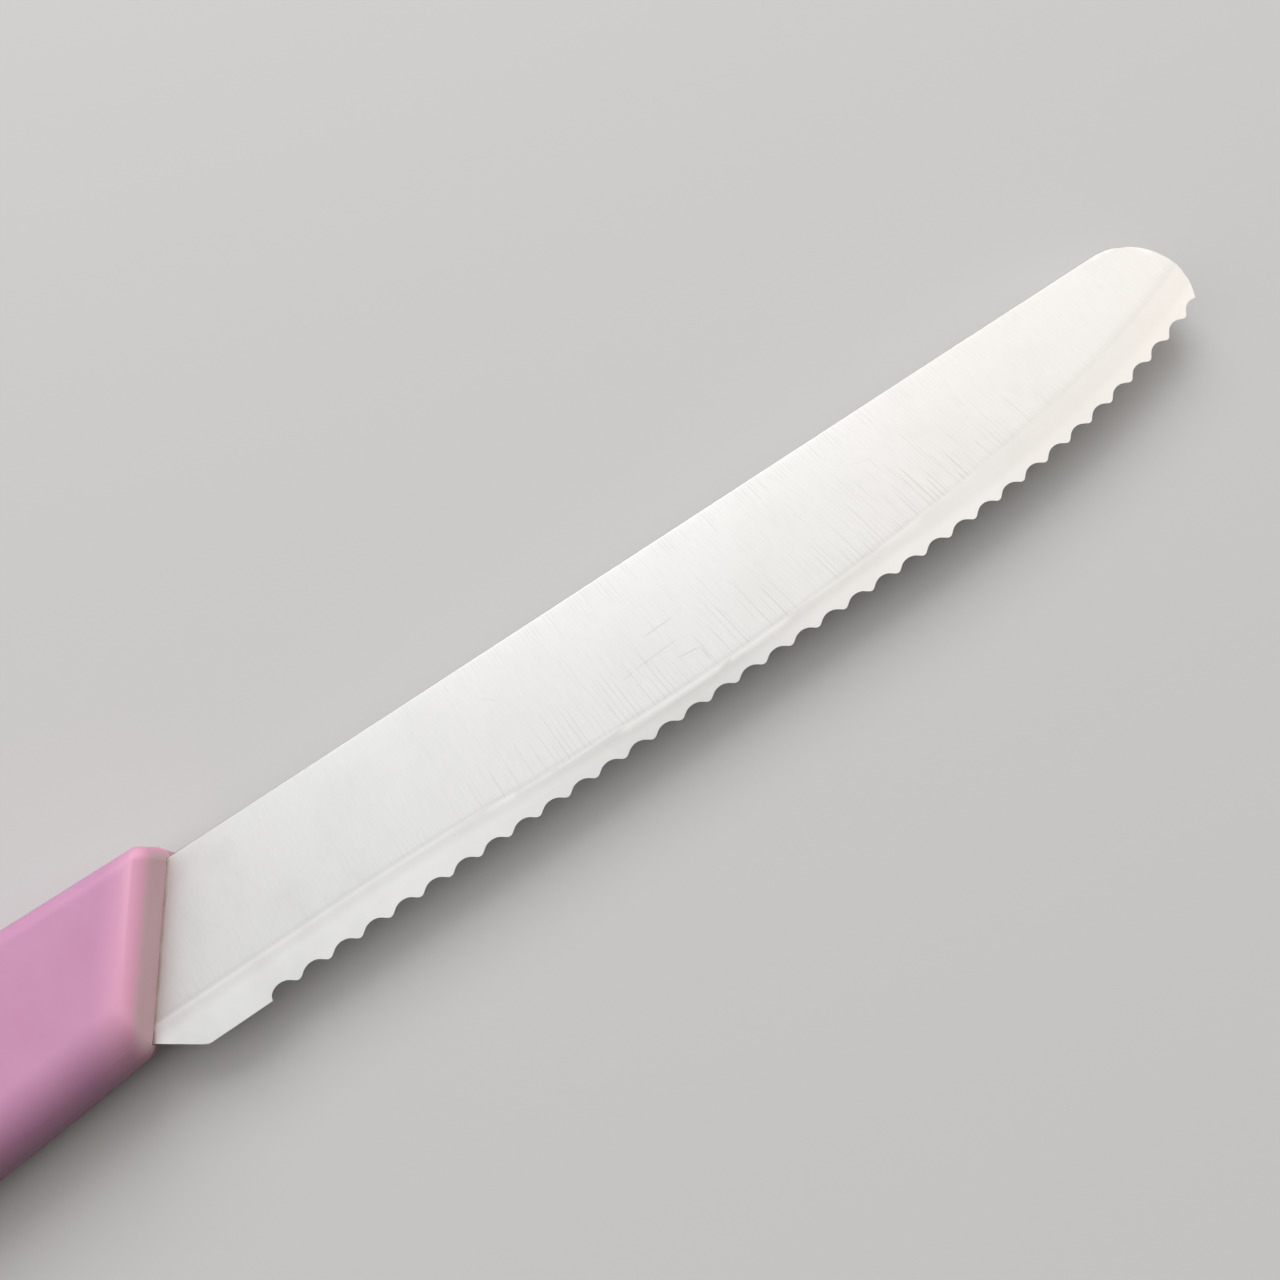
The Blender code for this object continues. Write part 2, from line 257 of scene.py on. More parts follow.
class Tree:
    """A node tree while it is being put together."""

    def __init__(self, tree: bpy.types.NodeTree) -> None:
        """Take up the tree."""
        self.tree = tree

    def node(self, kind: str, settings: dict | None = None, **inputs: Number | Colour) -> bpy.types.Node:
        """Add a node and fill its inputs.

        Args:
            kind: Blender's name of the node's type.
            settings: Values of the node's own properties.
            inputs: A value or a socket for each named input.

        Returns:
            The node.
        """
        made = self.tree.nodes.new(kind)
        for name, value in (settings or {}).items():
            setattr(made, name, value)
        for name, value in inputs.items():
            self.feed(made.inputs[name.replace("_", " ")], value)
        return made

    def feed(self, socket: Socket, value: Number | Colour) -> None:
        """Link a socket to another, or set its value."""
        if isinstance(value, Socket):
            self.tree.links.new(value, socket)
        else:
            socket.default_value = value

    def math(self, operation: str, *values: Number) -> Socket:
        """Work out one number.

        Args:
            operation: Blender's name of the operation.
            values: Its operands, each a number or a socket.

        Returns:
            The result's socket.
        """
        made = self.node("ShaderNodeMath", {"operation": operation})
        for socket, value in zip(made.inputs, values):
            self.feed(socket, value)
        return made.outputs[0]

    def product(self, *values: Number) -> Socket:
        """Multiply numbers, the first two first."""
        result = values[0]
        for value in values[1:]:
            result = self.math("MULTIPLY", result, value)
        return result

    def ramp(self, value: Number, low: Number, high: Number,
             start: float = 0.0, end: float = 1.0) -> Socket:
        """Map a number's range to another one, eased at both ends and held beyond them.

        Args:
            value: The number's socket.
            low: Where the range starts.
            high: Where it ends.
            start: What the result is up to low.
            end: What it is from high on.

        Returns:
            The result's socket.
        """
        made = self.node("ShaderNodeMapRange", {"interpolation_type": "SMOOTHSTEP"})
        for name, number in (("Value", value), ("From Min", low), ("From Max", high),
                             ("To Min", start), ("To Max", end)):
            self.feed(made.inputs[name], number)
        return made.outputs["Result"]

    def vector(self, x: Number, y: Number, z: Number) -> Socket:
        """Put three numbers together as a vector."""
        return self.node("ShaderNodeCombineXYZ", X=x, Y=y, Z=z).outputs[0]

    def noise(self, vector: Socket, scale: float, detail: float, rough: float) -> Socket:
        """Cloudy noise.

        Args:
            vector: Where it is read.
            scale: How fine it is.
            detail: How many finer layers it has.
            rough: How strong these are.

        Returns:
            The noise value's socket.
        """
        made = self.node("ShaderNodeTexNoise", Vector=vector, Scale=scale, Detail=detail, Roughness=rough)
        return made.outputs["Fac"]

    def blend(self, share: Number, first: Colour, second: Colour) -> Socket:
        """Mix two colours.

        Args:
            share: How much of the second.
            first: A colour or its socket.
            second: A colour or its socket.

        Returns:
            The colour's socket.
        """
        made = self.node("ShaderNodeMix", {"data_type": "RGBA"})
        for name, value in (("Factor_Float", share), ("A_Color", first), ("B_Color", second)):
            self.feed(next(s for s in made.inputs if s.identifier == name), value)
        return next(s for s in made.outputs if s.identifier == "Result_Color")

    def bump(self, height: Socket, distance: float, strength: float) -> Socket:
        """Turn a height into a bent normal.

        Args:
            height: The height's socket, from 0 to 1.
            distance: How high 1 is, in metres.
            strength: How much of it shows.

        Returns:
            The normal's socket.
        """
        return self.node("ShaderNodeBump", Height=height, Distance=distance, Strength=strength).outputs[0]


class Recipe(Tree):
    """A new material with its principled shader and the place on the object."""

    def __init__(self, name: str) -> None:
        """Start the material."""
        self.material = bpy.data.materials.new(name)
        self.material.use_nodes = True
        super().__init__(self.material.node_tree)
        self.shader = self.tree.nodes["Principled BSDF"]
        self.place = self.node("ShaderNodeTexCoord").outputs["Object"]
        parts = self.node("ShaderNodeSeparateXYZ", Vector=self.place)
        self.x, self.y, self.z = parts.outputs

    def ahead(self, start: Vector) -> Socket:
        """Distance in front of the handle's slanted front, which passes through a given point."""
        turn = math.radians(FRONT_ANGLE)
        along = self.math("SUBTRACT", self.x, start.x)
        inward = self.math("SUBTRACT", self.y, start.y)
        return self.math("SUBTRACT", self.math("MULTIPLY", along, math.sin(turn)),
                         self.math("MULTIPLY", inward, math.cos(turn)))


@dataclass(frozen=True)
class Marks:
    """One set of straight, parallel grinding marks, in millimetres."""

    pitch: float
    width: float
    far_width: float
    start: float
    spread: float
    length: float
    length_spread: float
    strength: float
    seed: float


@dataclass(frozen=True)
class Scratch:
    """One thin handling scratch between two points of the blade's face, in millimetres."""

    x: float
    y: float
    end_x: float
    end_y: float
    width: float = 0.035
    strength: float = 0.22


@dataclass(frozen=True)
class GroundSteel:
    """Stainless steel with fine grinding marks across the blade and a smooth ground bevel, with painted
    shade at the heel and along the bevel's boundary, and a painted reflection beside the handle.
    """

    tone: tuple = (0.76, 0.76, 0.755, 1.0)
    # Colour of the painted shade that darkens the steel towards the heel
    heel_shade_tone: tuple = (0.70, 0.70, 0.69, 1.0)
    # Dark colour of the grinding marks, scratches and specks, also used for the painted shade along the
    # bevel's boundary
    mark_and_shade_tone: tuple = (0.22, 0.215, 0.20, 1.0)
    joint_and_reflection_tone: tuple = (0.40, 0.34, 0.25, 1.0)
    # Colours of the ground bevel: partly its finer finish, partly painted light that makes up for the light
    # its tilt loses
    ground_finish_and_light_tone: tuple = (0.92, 0.92, 0.91, 1.0)
    ground_tip_finish_and_light_tone: tuple = (0.80, 0.795, 0.785, 1.0)
    roughness: float = 0.38
    brushed: float = 0.75
    lean: float = 0.15
    # Zones are shares of the way from the handle to the tip, and widths are in millimetres
    lean_zone: tuple = (0.22, 0.58)
    heel_shade_zone: tuple = (-0.08, 0.20)
    ground_zone: tuple = (0.40, 0.90)
    boundary_blur: float = 0.25
    band_zone: tuple = (0.55, 0.75)
    band_outer: tuple = (1.5, 2.6)
    band_inner_zone: tuple = (0.60, 0.90)
    band_inner: tuple = (0.40, 1.20)
    band_fade_zone: tuple = (0.55, 0.85)
    band_shade_strength: tuple = (0.12, 0.07)
    crease_zone: tuple = (0.60, 0.80)
    crease_width: tuple = (0.05, 0.50)
    crease_shade_strength: float = 0.10
    hair_scale: tuple = (11000.0, 500.0)
    hatch_strength: float = 0.06
    relief: float = 3e-6
    mark_zone: tuple = (0.08, 0.42, 0.60, 0.90)
    heel_marks: float = 0.22
    tip_marks: float = 0.10
    mark_power: float = 1.1
    sets: tuple[Marks, ...] = (
        Marks(pitch=0.52, width=0.036, far_width=0.110, start=6.8, spread=4.2,
              length=5.0, length_spread=3.0, strength=0.46, seed=11.0),
        Marks(pitch=0.33, width=0.028, far_width=0.060, start=3.5, spread=7.5,
              length=1.6, length_spread=3.0, strength=0.28, seed=37.0),
        Marks(pitch=0.37, width=0.060, far_width=0.070, start=-0.6, spread=0.7,
              length=1.3, length_spread=1.6, strength=0.22, seed=53.0),
        Marks(pitch=0.19, width=0.028, far_width=0.045, start=-1.0, spread=12.0,
              length=1.5, length_spread=4.0, strength=0.13, seed=71.0),
    )
    scratches: tuple[Scratch, ...] = (
        Scratch(44.5, -7.0, 48.4, -6.9, 0.05, 0.22), Scratch(42.0, -9.1, 47.8, -8.8, 0.09, 0.12),
        Scratch(46.2, -10.3, 48.8, -10.6, 0.04, 0.28), Scratch(40.9, -9.3, 42.4, -9.1, 0.05, 0.14),
        Scratch(48.6, -10.5, 48.7, -12.3, 0.04, 0.25), Scratch(70.1, -4.2, 72.4, -4.9, 0.03, 0.14),
        Scratch(29.5, -3.3, 31.0, -4.6, 0.03, 0.14),
    )

    def make(self, start: Vector, length: float, gap: str) -> bpy.types.Material:
        """Build the material.

        Args:
            start: Where the spine leaves the handle.
            length: The blade's length in metres.
            gap: Name of the attribute that holds the distance from the bevel's boundary.

        Returns:
            The material.
        """
        mix = Recipe("cross_ground_steel")
        along = mix.math("SUBTRACT", mix.x, start.x)
        inward = mix.math("SUBTRACT", mix.y, start.y)
        share = mix.math("DIVIDE", along, length)
        gap_value = mix.node("ShaderNodeAttribute", {"attribute_name": gap}).outputs["Fac"]
        lean = mix.ramp(share, *self.lean_zone, 0.0, self.lean)
        across = mix.math("ADD", along, mix.math("MULTIPLY", inward, lean))
        flat = mix.ramp(gap_value, -self.boundary_blur * MM, self.boundary_blur * MM)

        # Painted shade: the steel's colour darkens towards the heel
        tone = mix.blend(mix.ramp(share, *self.heel_shade_zone), self.heel_shade_tone, self.tone)
        # Partly painted light: the bevel is paler than the flat, partly for its finer finish and partly to
        # make up for its tilt, and less pale towards the tip
        ground = mix.blend(mix.ramp(share, *self.ground_zone), self.ground_finish_and_light_tone, self.ground_tip_finish_and_light_tone)
        tone = mix.blend(flat, ground, tone)
        relief = None
        for marks in self.sets:
            lines = mix.math("MULTIPLY", self.lines(mix, marks, across, inward, share), flat)
            tone = mix.blend(lines, tone, self.mark_and_shade_tone)
            relief = lines if relief is None else mix.math("ADD", relief, lines)
        for scratch in self.scratches:
            tone = mix.blend(self.scratch(mix, scratch, along, inward, start.z), tone, self.mark_and_shade_tone)

        fine, long = self.hair_scale
        hair = mix.noise(mix.vector(mix.math("MULTIPLY", across, fine),
                                    mix.math("MULTIPLY", inward, long), mix.z), 1.0, 2.0, 0.6)
        hatch = mix.math("MULTIPLY", mix.ramp(hair, 0.35, 0.75, 0.0, self.hatch_strength), flat)
        tone = mix.blend(hatch, tone, self.mark_and_shade_tone)
        # Painted shade along the bevel's boundary, in the marks' dark colour
        tone = mix.blend(self.boundary(mix, gap_value, share), tone, self.mark_and_shade_tone)
        tone = mix.blend(self.stains(mix, share), tone, self.mark_and_shade_tone)
        tone = mix.blend(self.joint(mix, start), tone, self.joint_and_reflection_tone)
        mix.feed(mix.shader.inputs["Base Color"], tone)

        rough = mix.math("MULTIPLY_ADD", hair, 0.08, self.roughness - 0.04)
        mix.feed(mix.shader.inputs["Roughness"], mix.math("MULTIPLY_ADD", relief, 0.10, rough))
        depth = mix.math("SUBTRACT", mix.math("MULTIPLY", hair, 0.25), relief)
        mix.feed(mix.shader.inputs["Normal"], mix.bump(depth, self.relief, 0.5))
        mix.feed(mix.shader.inputs["Tangent"], mix.vector(1.0, 0.0, 0.0))
        mix.shader.inputs["Anisotropic"].default_value = self.brushed
        mix.shader.inputs["Metallic"].default_value = 1.0
        return mix.material

    def boundary(self, mix: Recipe, gap: Socket, share: Socket) -> Socket:
        """Paint shade on the band next to the line where the bevel begins, and on the line itself but at
        the tip.

        Args:
            mix: The material in the making.
            gap: Distance inside the bevel's boundary.
            share: How far towards the tip.

        Returns:
            How dark the painted shade on the band and the line is.
        """
        widths = (self.band_outer, self.band_inner, self.crease_width)
        outer, inner, crease = ([width * MM for width in pair] for pair in widths)
        grown = mix.ramp(mix.math("ADD", gap, mix.ramp(share, *self.band_zone, *outer)), 0.0, MM)
        inner = mix.ramp(share, *self.band_inner_zone, *inner)
        faded = mix.ramp(mix.math("SUBTRACT", gap, inner), -MM, 0.0, 1.0, 0.0)
        band = mix.product(grown, faded, mix.ramp(share, *self.band_fade_zone, *self.band_shade_strength))
        crease = mix.ramp(mix.math("ABSOLUTE", gap), *crease, self.crease_shade_strength, 0.0)
        crease = mix.math("MULTIPLY", crease, mix.ramp(share, *self.crease_zone, 1.0, 0.0))
        return mix.math("MAXIMUM", band, crease)

    def stains(self, mix: Recipe, share: Socket) -> Socket:
        """Cloud the steel faintly, more at the heel, and add a few tiny specks.

        Args:
            mix: The material in the making.
            share: How far towards the tip.

        Returns:
            How dark the stains are.
        """
        cloud = mix.noise(mix.place, 150.0, 4.0, 0.6)
        cloud = mix.math("MULTIPLY", mix.ramp(cloud, 0.42, 0.72), mix.ramp(share, 0.0, 0.18, 0.10, 0.035))
        speck = mix.node("ShaderNodeTexVoronoi", Vector=mix.place, Scale=260.0)
        dot = mix.ramp(speck.outputs["Distance"], 0.006, 0.020, 0.45, 0.0)
        return mix.math("MAXIMUM", cloud, dot)

    def joint(self, mix: Recipe, start: Vector) -> Socket:
        """Tint the steel brown along the handle's slanted front: a dark joint line, and a painted
        reflection and shade of the plastic front beside it.

        Args:
            mix: The material in the making.
            start: Where the spine leaves the handle.

        Returns:
            How strong the tint is.
        """
        off = mix.ahead(start)
        patchy = mix.ramp(mix.noise(mix.place, 700.0, 3.0, 0.6), 0.3, 0.7, 0.5, 0.9)
        line = mix.ramp(off, 0.0, 0.32 * MM, 0.9, 0.0)
        # Painted reflection and shade of the plastic front in the steel, fading away from the joint
        tint = mix.ramp(off, 0.10 * MM, 0.80 * MM, 0.22, 0.0)
        return mix.math("MULTIPLY", mix.math("MAXIMUM", line, tint), patchy)

    def lines(self, mix: Recipe, marks: Marks, across: Socket, inward: Socket, share: Socket) -> Socket:
        """Draw one set of marks: a straight line in each cell, at its own place, length and depth.

        Args:
            mix: The material in the making.
            marks: The set's sizes.
            across: Distance along the blade, square to the marks.
            inward: Distance from the spine, negative.
            share: How far towards the tip.

        Returns:
            How strong the marks are.
        """
        cells = mix.math("DIVIDE", across, marks.pitch * MM)
        cell = mix.math("FLOOR", cells)
        seed = mix.math("ADD", cell, marks.seed)
        chance = mix.node("ShaderNodeTexWhiteNoise", {"noise_dimensions": "1D"}, W=seed)
        first, second, third = mix.node("ShaderNodeSeparateColor", Color=chance.outputs["Color"]).outputs
        middle = mix.math("MULTIPLY_ADD", first, 0.5, 0.25)
        off = mix.math("ABSOLUTE", mix.math("SUBTRACT", mix.math("SUBTRACT", cells, cell), middle))
        off = mix.math("MULTIPLY", off, marks.pitch * MM)
        width = mix.ramp(share, 0.55, 0.80, marks.width * MM, marks.far_width * MM)
        outside = mix.math("SMOOTH_MIN", 1.0, mix.math("DIVIDE", off, width), 0.2)
        line = mix.math("SUBTRACT", 1.0, outside)
        line = mix.math("MAXIMUM", line, 0.0)
        start = mix.math("MULTIPLY_ADD", second, -marks.spread * MM, -marks.start * MM)
        depth = mix.math("SUBTRACT", start, inward)
        length = mix.math("MULTIPLY_ADD", third, marks.length_spread * MM, marks.length * MM)
        begun = mix.ramp(depth, -0.8 * MM, 0.9 * MM)
        ended = mix.ramp(mix.math("SUBTRACT", depth, length), -1.0 * MM, 0.6 * MM, 1.0, 0.0)
        force = mix.math("POWER", chance.outputs["Value"], self.mark_power)
        rise, full, fall, last = self.mark_zone
        zone = mix.math("MULTIPLY", mix.ramp(share, rise, full, self.heel_marks, 1.0),
                        mix.ramp(share, fall, last, 1.0, self.tip_marks))
        force = mix.product(force, zone, marks.strength)
        return mix.product(line, force, mix.math("MULTIPLY", begun, ended))

    def scratch(self, mix: Recipe, scratch: Scratch, along: Socket, inward: Socket,
                middle: float) -> Socket:
        """Draw one scratch on the upper face, as the area close to a straight stretch.

        Args:
            mix: The material in the making.
            scratch: Its ends and width.
            along: Distance from the handle.
            inward: Distance from the spine, negative.
            middle: Height of the blade's middle plane.

        Returns:
            How strong the scratch is.
        """
        run = Vector((scratch.end_x - scratch.x, scratch.end_y - scratch.y)) * MM
        reach = run.length
        run.normalize()
        right = mix.math("SUBTRACT", along, scratch.x * MM)
        up = mix.math("SUBTRACT", inward, scratch.y * MM)
        on = mix.math("ADD", mix.math("MULTIPLY", right, run.x), mix.math("MULTIPLY", up, run.y))
        off = mix.math("SUBTRACT", mix.math("MULTIPLY", right, -run.y), mix.math("MULTIPLY", up, -run.x))
        off = mix.math("ABSOLUTE", off)
        near = mix.ramp(off, 0.4 * scratch.width * MM, 1.6 * scratch.width * MM, scratch.strength, 0.0)
        within = mix.math("MULTIPLY", mix.ramp(on, 0.0, 0.3 * reach),
                          mix.ramp(on, 0.7 * reach, reach, 1.0, 0.0))
        return mix.product(near, within, mix.math("GREATER_THAN", mix.z, middle))


@dataclass(frozen=True)
class MouldedPlastic:
    """Tinted plastic straight from the mould: softly shining and faintly mottled, with painted warm light
    on its front, a painted reflection on its front wall and a painted highlight line near the front.
    """

    tone: tuple = (0.615, 0.294, 0.487, 1.0)
    pale_tone: tuple = (0.647, 0.321, 0.519, 1.0)
    # Colour of the painted warm light on the front rounding
    front_light_tone: tuple = (0.78, 0.390, 0.570, 1.0)
    # Colour of the painted reflection of the steel and warm light on the front wall
    wall_reflection_tone: tuple = (0.70, 0.485, 0.560, 1.0)
    # Colour of the painted highlight line where the wall meets the rounding
    highlight_line_tone: tuple = (0.78, 0.55, 0.60, 1.0)
    roughness: float = 0.44
    specular: float = 0.35
    highlight_line_width: float = 0.11
    highlight_line_strength: float = 0.38
    # Zones are distances in millimetres from the slanted front, negative inside the handle
    front_zone: tuple = (-4.0, -0.9)
    wall_zone: tuple = (-0.60, -0.20)
    highlight_line_zone: tuple = (-3.5, -1.0)
    relief: float = 8e-6

    def make(self, start: Vector, line: float) -> bpy.types.Material:
        """Build the material.

        Args:
            start: A point on the handle's slanted front.
            line: Height of the painted highlight line, where the wall meets the rounding, in metres.

        Returns:
            The material.
        """
        mix = Recipe("moulded_lilac_plastic")
        cloud = mix.noise(mix.place, 140.0, 4.0, 0.55)
        grain = mix.noise(mix.place, 5200.0, 3.0, 0.6)
        ahead = mix.ahead(start)
        front, wall, seen = ([place * MM for place in zone]
                             for zone in (self.front_zone, self.wall_zone, self.highlight_line_zone))
        tone = mix.blend(mix.ramp(cloud, 0.3, 0.7), self.tone, self.pale_tone)
        # Painted warm light on the front rounding
        tone = mix.blend(mix.ramp(ahead, *front), tone, self.front_light_tone)
        # Painted reflection of the steel and painted warm light on the front wall
        tone = mix.blend(mix.ramp(ahead, *wall), tone, self.wall_reflection_tone)
        off = mix.math("ABSOLUTE", mix.math("SUBTRACT", mix.z, line))
        faint = mix.noise(mix.place, 900.0, 2.0, 0.5)
        # Painted highlight along the edge where the wall meets the rounding, also raised slightly in the
        # bump
        highlight_thread = mix.product(mix.ramp(off, 0.0, self.highlight_line_width * MM, self.highlight_line_strength, 0.0),
                             mix.ramp(faint, 0.35, 0.6, 0.35, 1.0), mix.ramp(ahead, *seen))
        tone = mix.blend(highlight_thread, tone, self.highlight_line_tone)
        mix.feed(mix.shader.inputs["Base Color"], tone)
        rough = mix.math("MULTIPLY_ADD", grain, 0.10, self.roughness - 0.05)
        mix.feed(mix.shader.inputs["Roughness"], rough)
        mix.feed(mix.shader.inputs["Normal"], mix.bump(mix.math("ADD", grain, highlight_thread), self.relief, 0.35))
        mix.shader.inputs["Specular IOR Level"].default_value = self.specular
        return mix.material


@dataclass
class Blade:
    """The ground blade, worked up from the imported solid."""

    origin: Vector
    heel: Heel = Heel()
    # Lengths and slacks are in millimetres, turns in degrees, tilts upright parts of a face's normal
    length: float = 109.0
    tip_radius: float = 6.1
    weld_distance: float = 0.002
    weld_turn: float = 0.05
    grid_along: float = 1.5
    grid_inward: float = 0.75
    grid_shift: float = 0.37
    heel_reach: float = 12.0
    side_tilt: float = 0.9999
    rim_tilt: float = 0.98
    flat_tilt: float = 0.99999
    ground_tilt: float = 0.999
    face_tilt: float = 0.9
    wall_tilt: float = 0.3
    spine_rim: float = 0.09
    spine_slack: float = 0.01
    spine_swell_share: float = 0.72
    tip_rim: float = 0.16
    tip_slack: float = 0.06
    tip_turn_from: float = -12.0
    tip_turn_span: float = 40.0
    heel_rim: float = 0.14
    heel_slack: float = 0.08
    heel_span: float = 3.0
    heel_top: float = -12.0
    heel_front: float = -4.3
    thin_share: float = 0.3
    rim_steps: int = 4
    smooth_turn: float = 14.0
    node: str = "blade"
    gap: str = "bevel_gap"

    def build(self) -> bpy.types.Object:
        """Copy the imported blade, weld it, round its spine, tip and heel, and dress it.

        Returns:
            The finished blade.
        """
        piece = bpy.data.objects.new("ground_blade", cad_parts[self.node].data.copy())
        bpy.context.scene.collection.objects.link(piece)
        self.weld(piece)
        boundary = self.bevel_boundary(piece)
        self.divide(piece)
        self.round_rims(piece)
        self.mark_bevel(piece, boundary)
        smooth(piece, self.smooth_turn)
        piece.data.materials.clear()
        piece.data.materials.append(GroundSteel().make(self.origin, self.length * MM, self.gap))
        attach(piece, "root")
        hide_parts(self.node)
        return piece

    def weld(self, piece: bpy.types.Object) -> None:
        """Drop the solid's stored normals, join its loose triangles and dissolve what lies flat.

        Args:
            piece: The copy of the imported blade.
        """
        take(piece)
        bpy.ops.mesh.customdata_custom_splitnormals_clear()
        edit(piece)
        bpy.ops.mesh.select_all(action="SELECT")
        bpy.ops.mesh.remove_doubles(threshold=self.weld_distance * MM)
        bpy.ops.mesh.dissolve_limited(angle_limit=math.radians(self.weld_turn))
        bpy.ops.object.mode_set(mode="OBJECT")

    def divide(self, piece: bpy.types.Object) -> None:
        """Cut both sides into a fine grid, which carries the bevel's distance and soft shading.

        Args:
            piece: The welded blade.
        """
        edit(piece)
        pick(piece, "FACE", lambda middle, normal: abs(normal.z) < self.side_tilt)
        bpy.ops.mesh.quads_convert_to_tris()
        pick(piece, "FACE", lambda middle, normal: abs(normal.z) < self.rim_tilt)
        bpy.ops.mesh.hide()
        columns = int(self.length / self.grid_along)
        first = -int(self.heel_reach / self.grid_along)
        rows = int(-self.heel.y / self.grid_inward)
        cuts = [(Vector(((step + self.grid_shift) * self.grid_along, 0, 0)), (1, 0, 0))
                for step in range(first, columns)]
        cuts += [(Vector((0, -step * self.grid_inward, 0)), (0, 1, 0)) for step in range(1, rows)]
        for spot, normal in cuts:
            bpy.ops.mesh.select_all(action="SELECT")
            bpy.ops.mesh.bisect(plane_co=self.origin + spot * MM, plane_no=normal)
        bpy.ops.mesh.reveal()
        bpy.ops.object.mode_set(mode="OBJECT")

    def rim(self, spot: Vector) -> float:
        """How far the edge at a point of the outline is rounded over.

        Args:
            spot: The point, in millimetres from where the spine leaves the handle.

        Returns:
            The rounding's width in millimetres, or 0 where the edge stays sharp.
        """
        centre = Vector((self.length - self.tip_radius, -self.tip_radius, 0.0))
        out = Vector((spot.x - centre.x, spot.y - centre.y, 0.0))
        if spot.x > centre.x and abs(out.length - self.tip_radius) < self.tip_slack:
            turn = math.degrees(math.atan2(out.y, out.x))
            grown = (turn - self.tip_turn_from) / self.tip_turn_span
            return self.tip_rim * min(1.0, max(self.thin_share, grown))
        if abs(spot.y) < self.spine_slack and spot.x > 0:
            start = self.spine_swell_share * self.length
            share = min(1.0, max(0.0, (spot.x - start) / (centre.x - start)))
            return self.spine_rim + (self.tip_rim - self.spine_rim) * share ** 2
        off = spot.y - self.heel.y + self.heel.slope() * (spot.x - self.heel.x)
        if spot.x < self.heel_front and spot.y < self.heel_top and abs(off) < self.heel_slack:
            grown = (self.heel_top - spot.y) / self.heel_span
            return self.heel_rim * min(1.0, max(self.thin_share, grown))
        return 0.0

    def round_rims(self, piece: bpy.types.Object) -> None:
        """Round the spine, the tip and the heel over, each by its own width.

        Args:
            piece: The divided blade.
        """
        mesh = piece.data
        faces_of: dict = {}
        for face in mesh.polygons:
            for key in face.edge_keys:
                faces_of.setdefault(key, []).append(abs(face.normal.z))
        weights = []
        for side in mesh.edges:
            first, last = (mesh.vertices[index].co for index in side.vertices)
            tilts = sorted(faces_of[side.key])
            corner = tilts[0] < self.wall_tilt and tilts[-1] > self.face_tilt
            spot = ((first + last) / 2 - self.origin) / MM
            weights.append(self.rim(spot) / self.tip_rim if corner else 0.0)
        mesh.attributes.new("bevel_weight_edge", "FLOAT", "EDGE").data.foreach_set("value", weights)
        apply_modifier(piece, "BEVEL", width=self.tip_rim * MM, segments=self.rim_steps,
                       limit_method="WEIGHT", use_clamp_overlap=False)

    def bevel_boundary(self, piece: bpy.types.Object) -> list[tuple[float, float]]:
        """Find the line where the flat face ends and the ground bevel begins.

        Args:
            piece: The welded blade.

        Returns:
            Its points from heel to tip.
        """
        mesh = piece.data
        flat, ground = set(), set()
        for face in mesh.polygons:
            tilt = abs(face.normal.z)
            if tilt > self.flat_tilt:
                flat.update(face.vertices)
            elif self.rim_tilt < tilt < self.ground_tilt:
                ground.update(face.vertices)
        return sorted({(round(mesh.vertices[index].co.x, 7), round(mesh.vertices[index].co.y, 7))
                       for index in flat & ground if mesh.vertices[index].co.z > self.origin.z})

    def mark_bevel(self, piece: bpy.types.Object, line: list[tuple[float, float]]) -> None:
        """Store for every point how far inside the ground bevel's boundary it lies.

        Args:
            piece: The divided blade.
            line: The boundary's points.
        """
        ends = [Vector(spot) for spot in line]
        values = []
        for vertex in piece.data.vertices:
            here = vertex.co.to_2d()
            best = (1.0, 0.0)
            for first, last in zip(ends, ends[1:]):
                run = last - first
                share = min(1.0, max(0.0, (here - first).dot(run) / run.length_squared))
                off = here - first - run * share
                best = min(best, (off.length, math.copysign(1.0, run.cross(here - first))))
            values.append(best[0] * best[1])
        piece.data.attributes.new(self.gap, "FLOAT", "POINT").data.foreach_set("value", values)


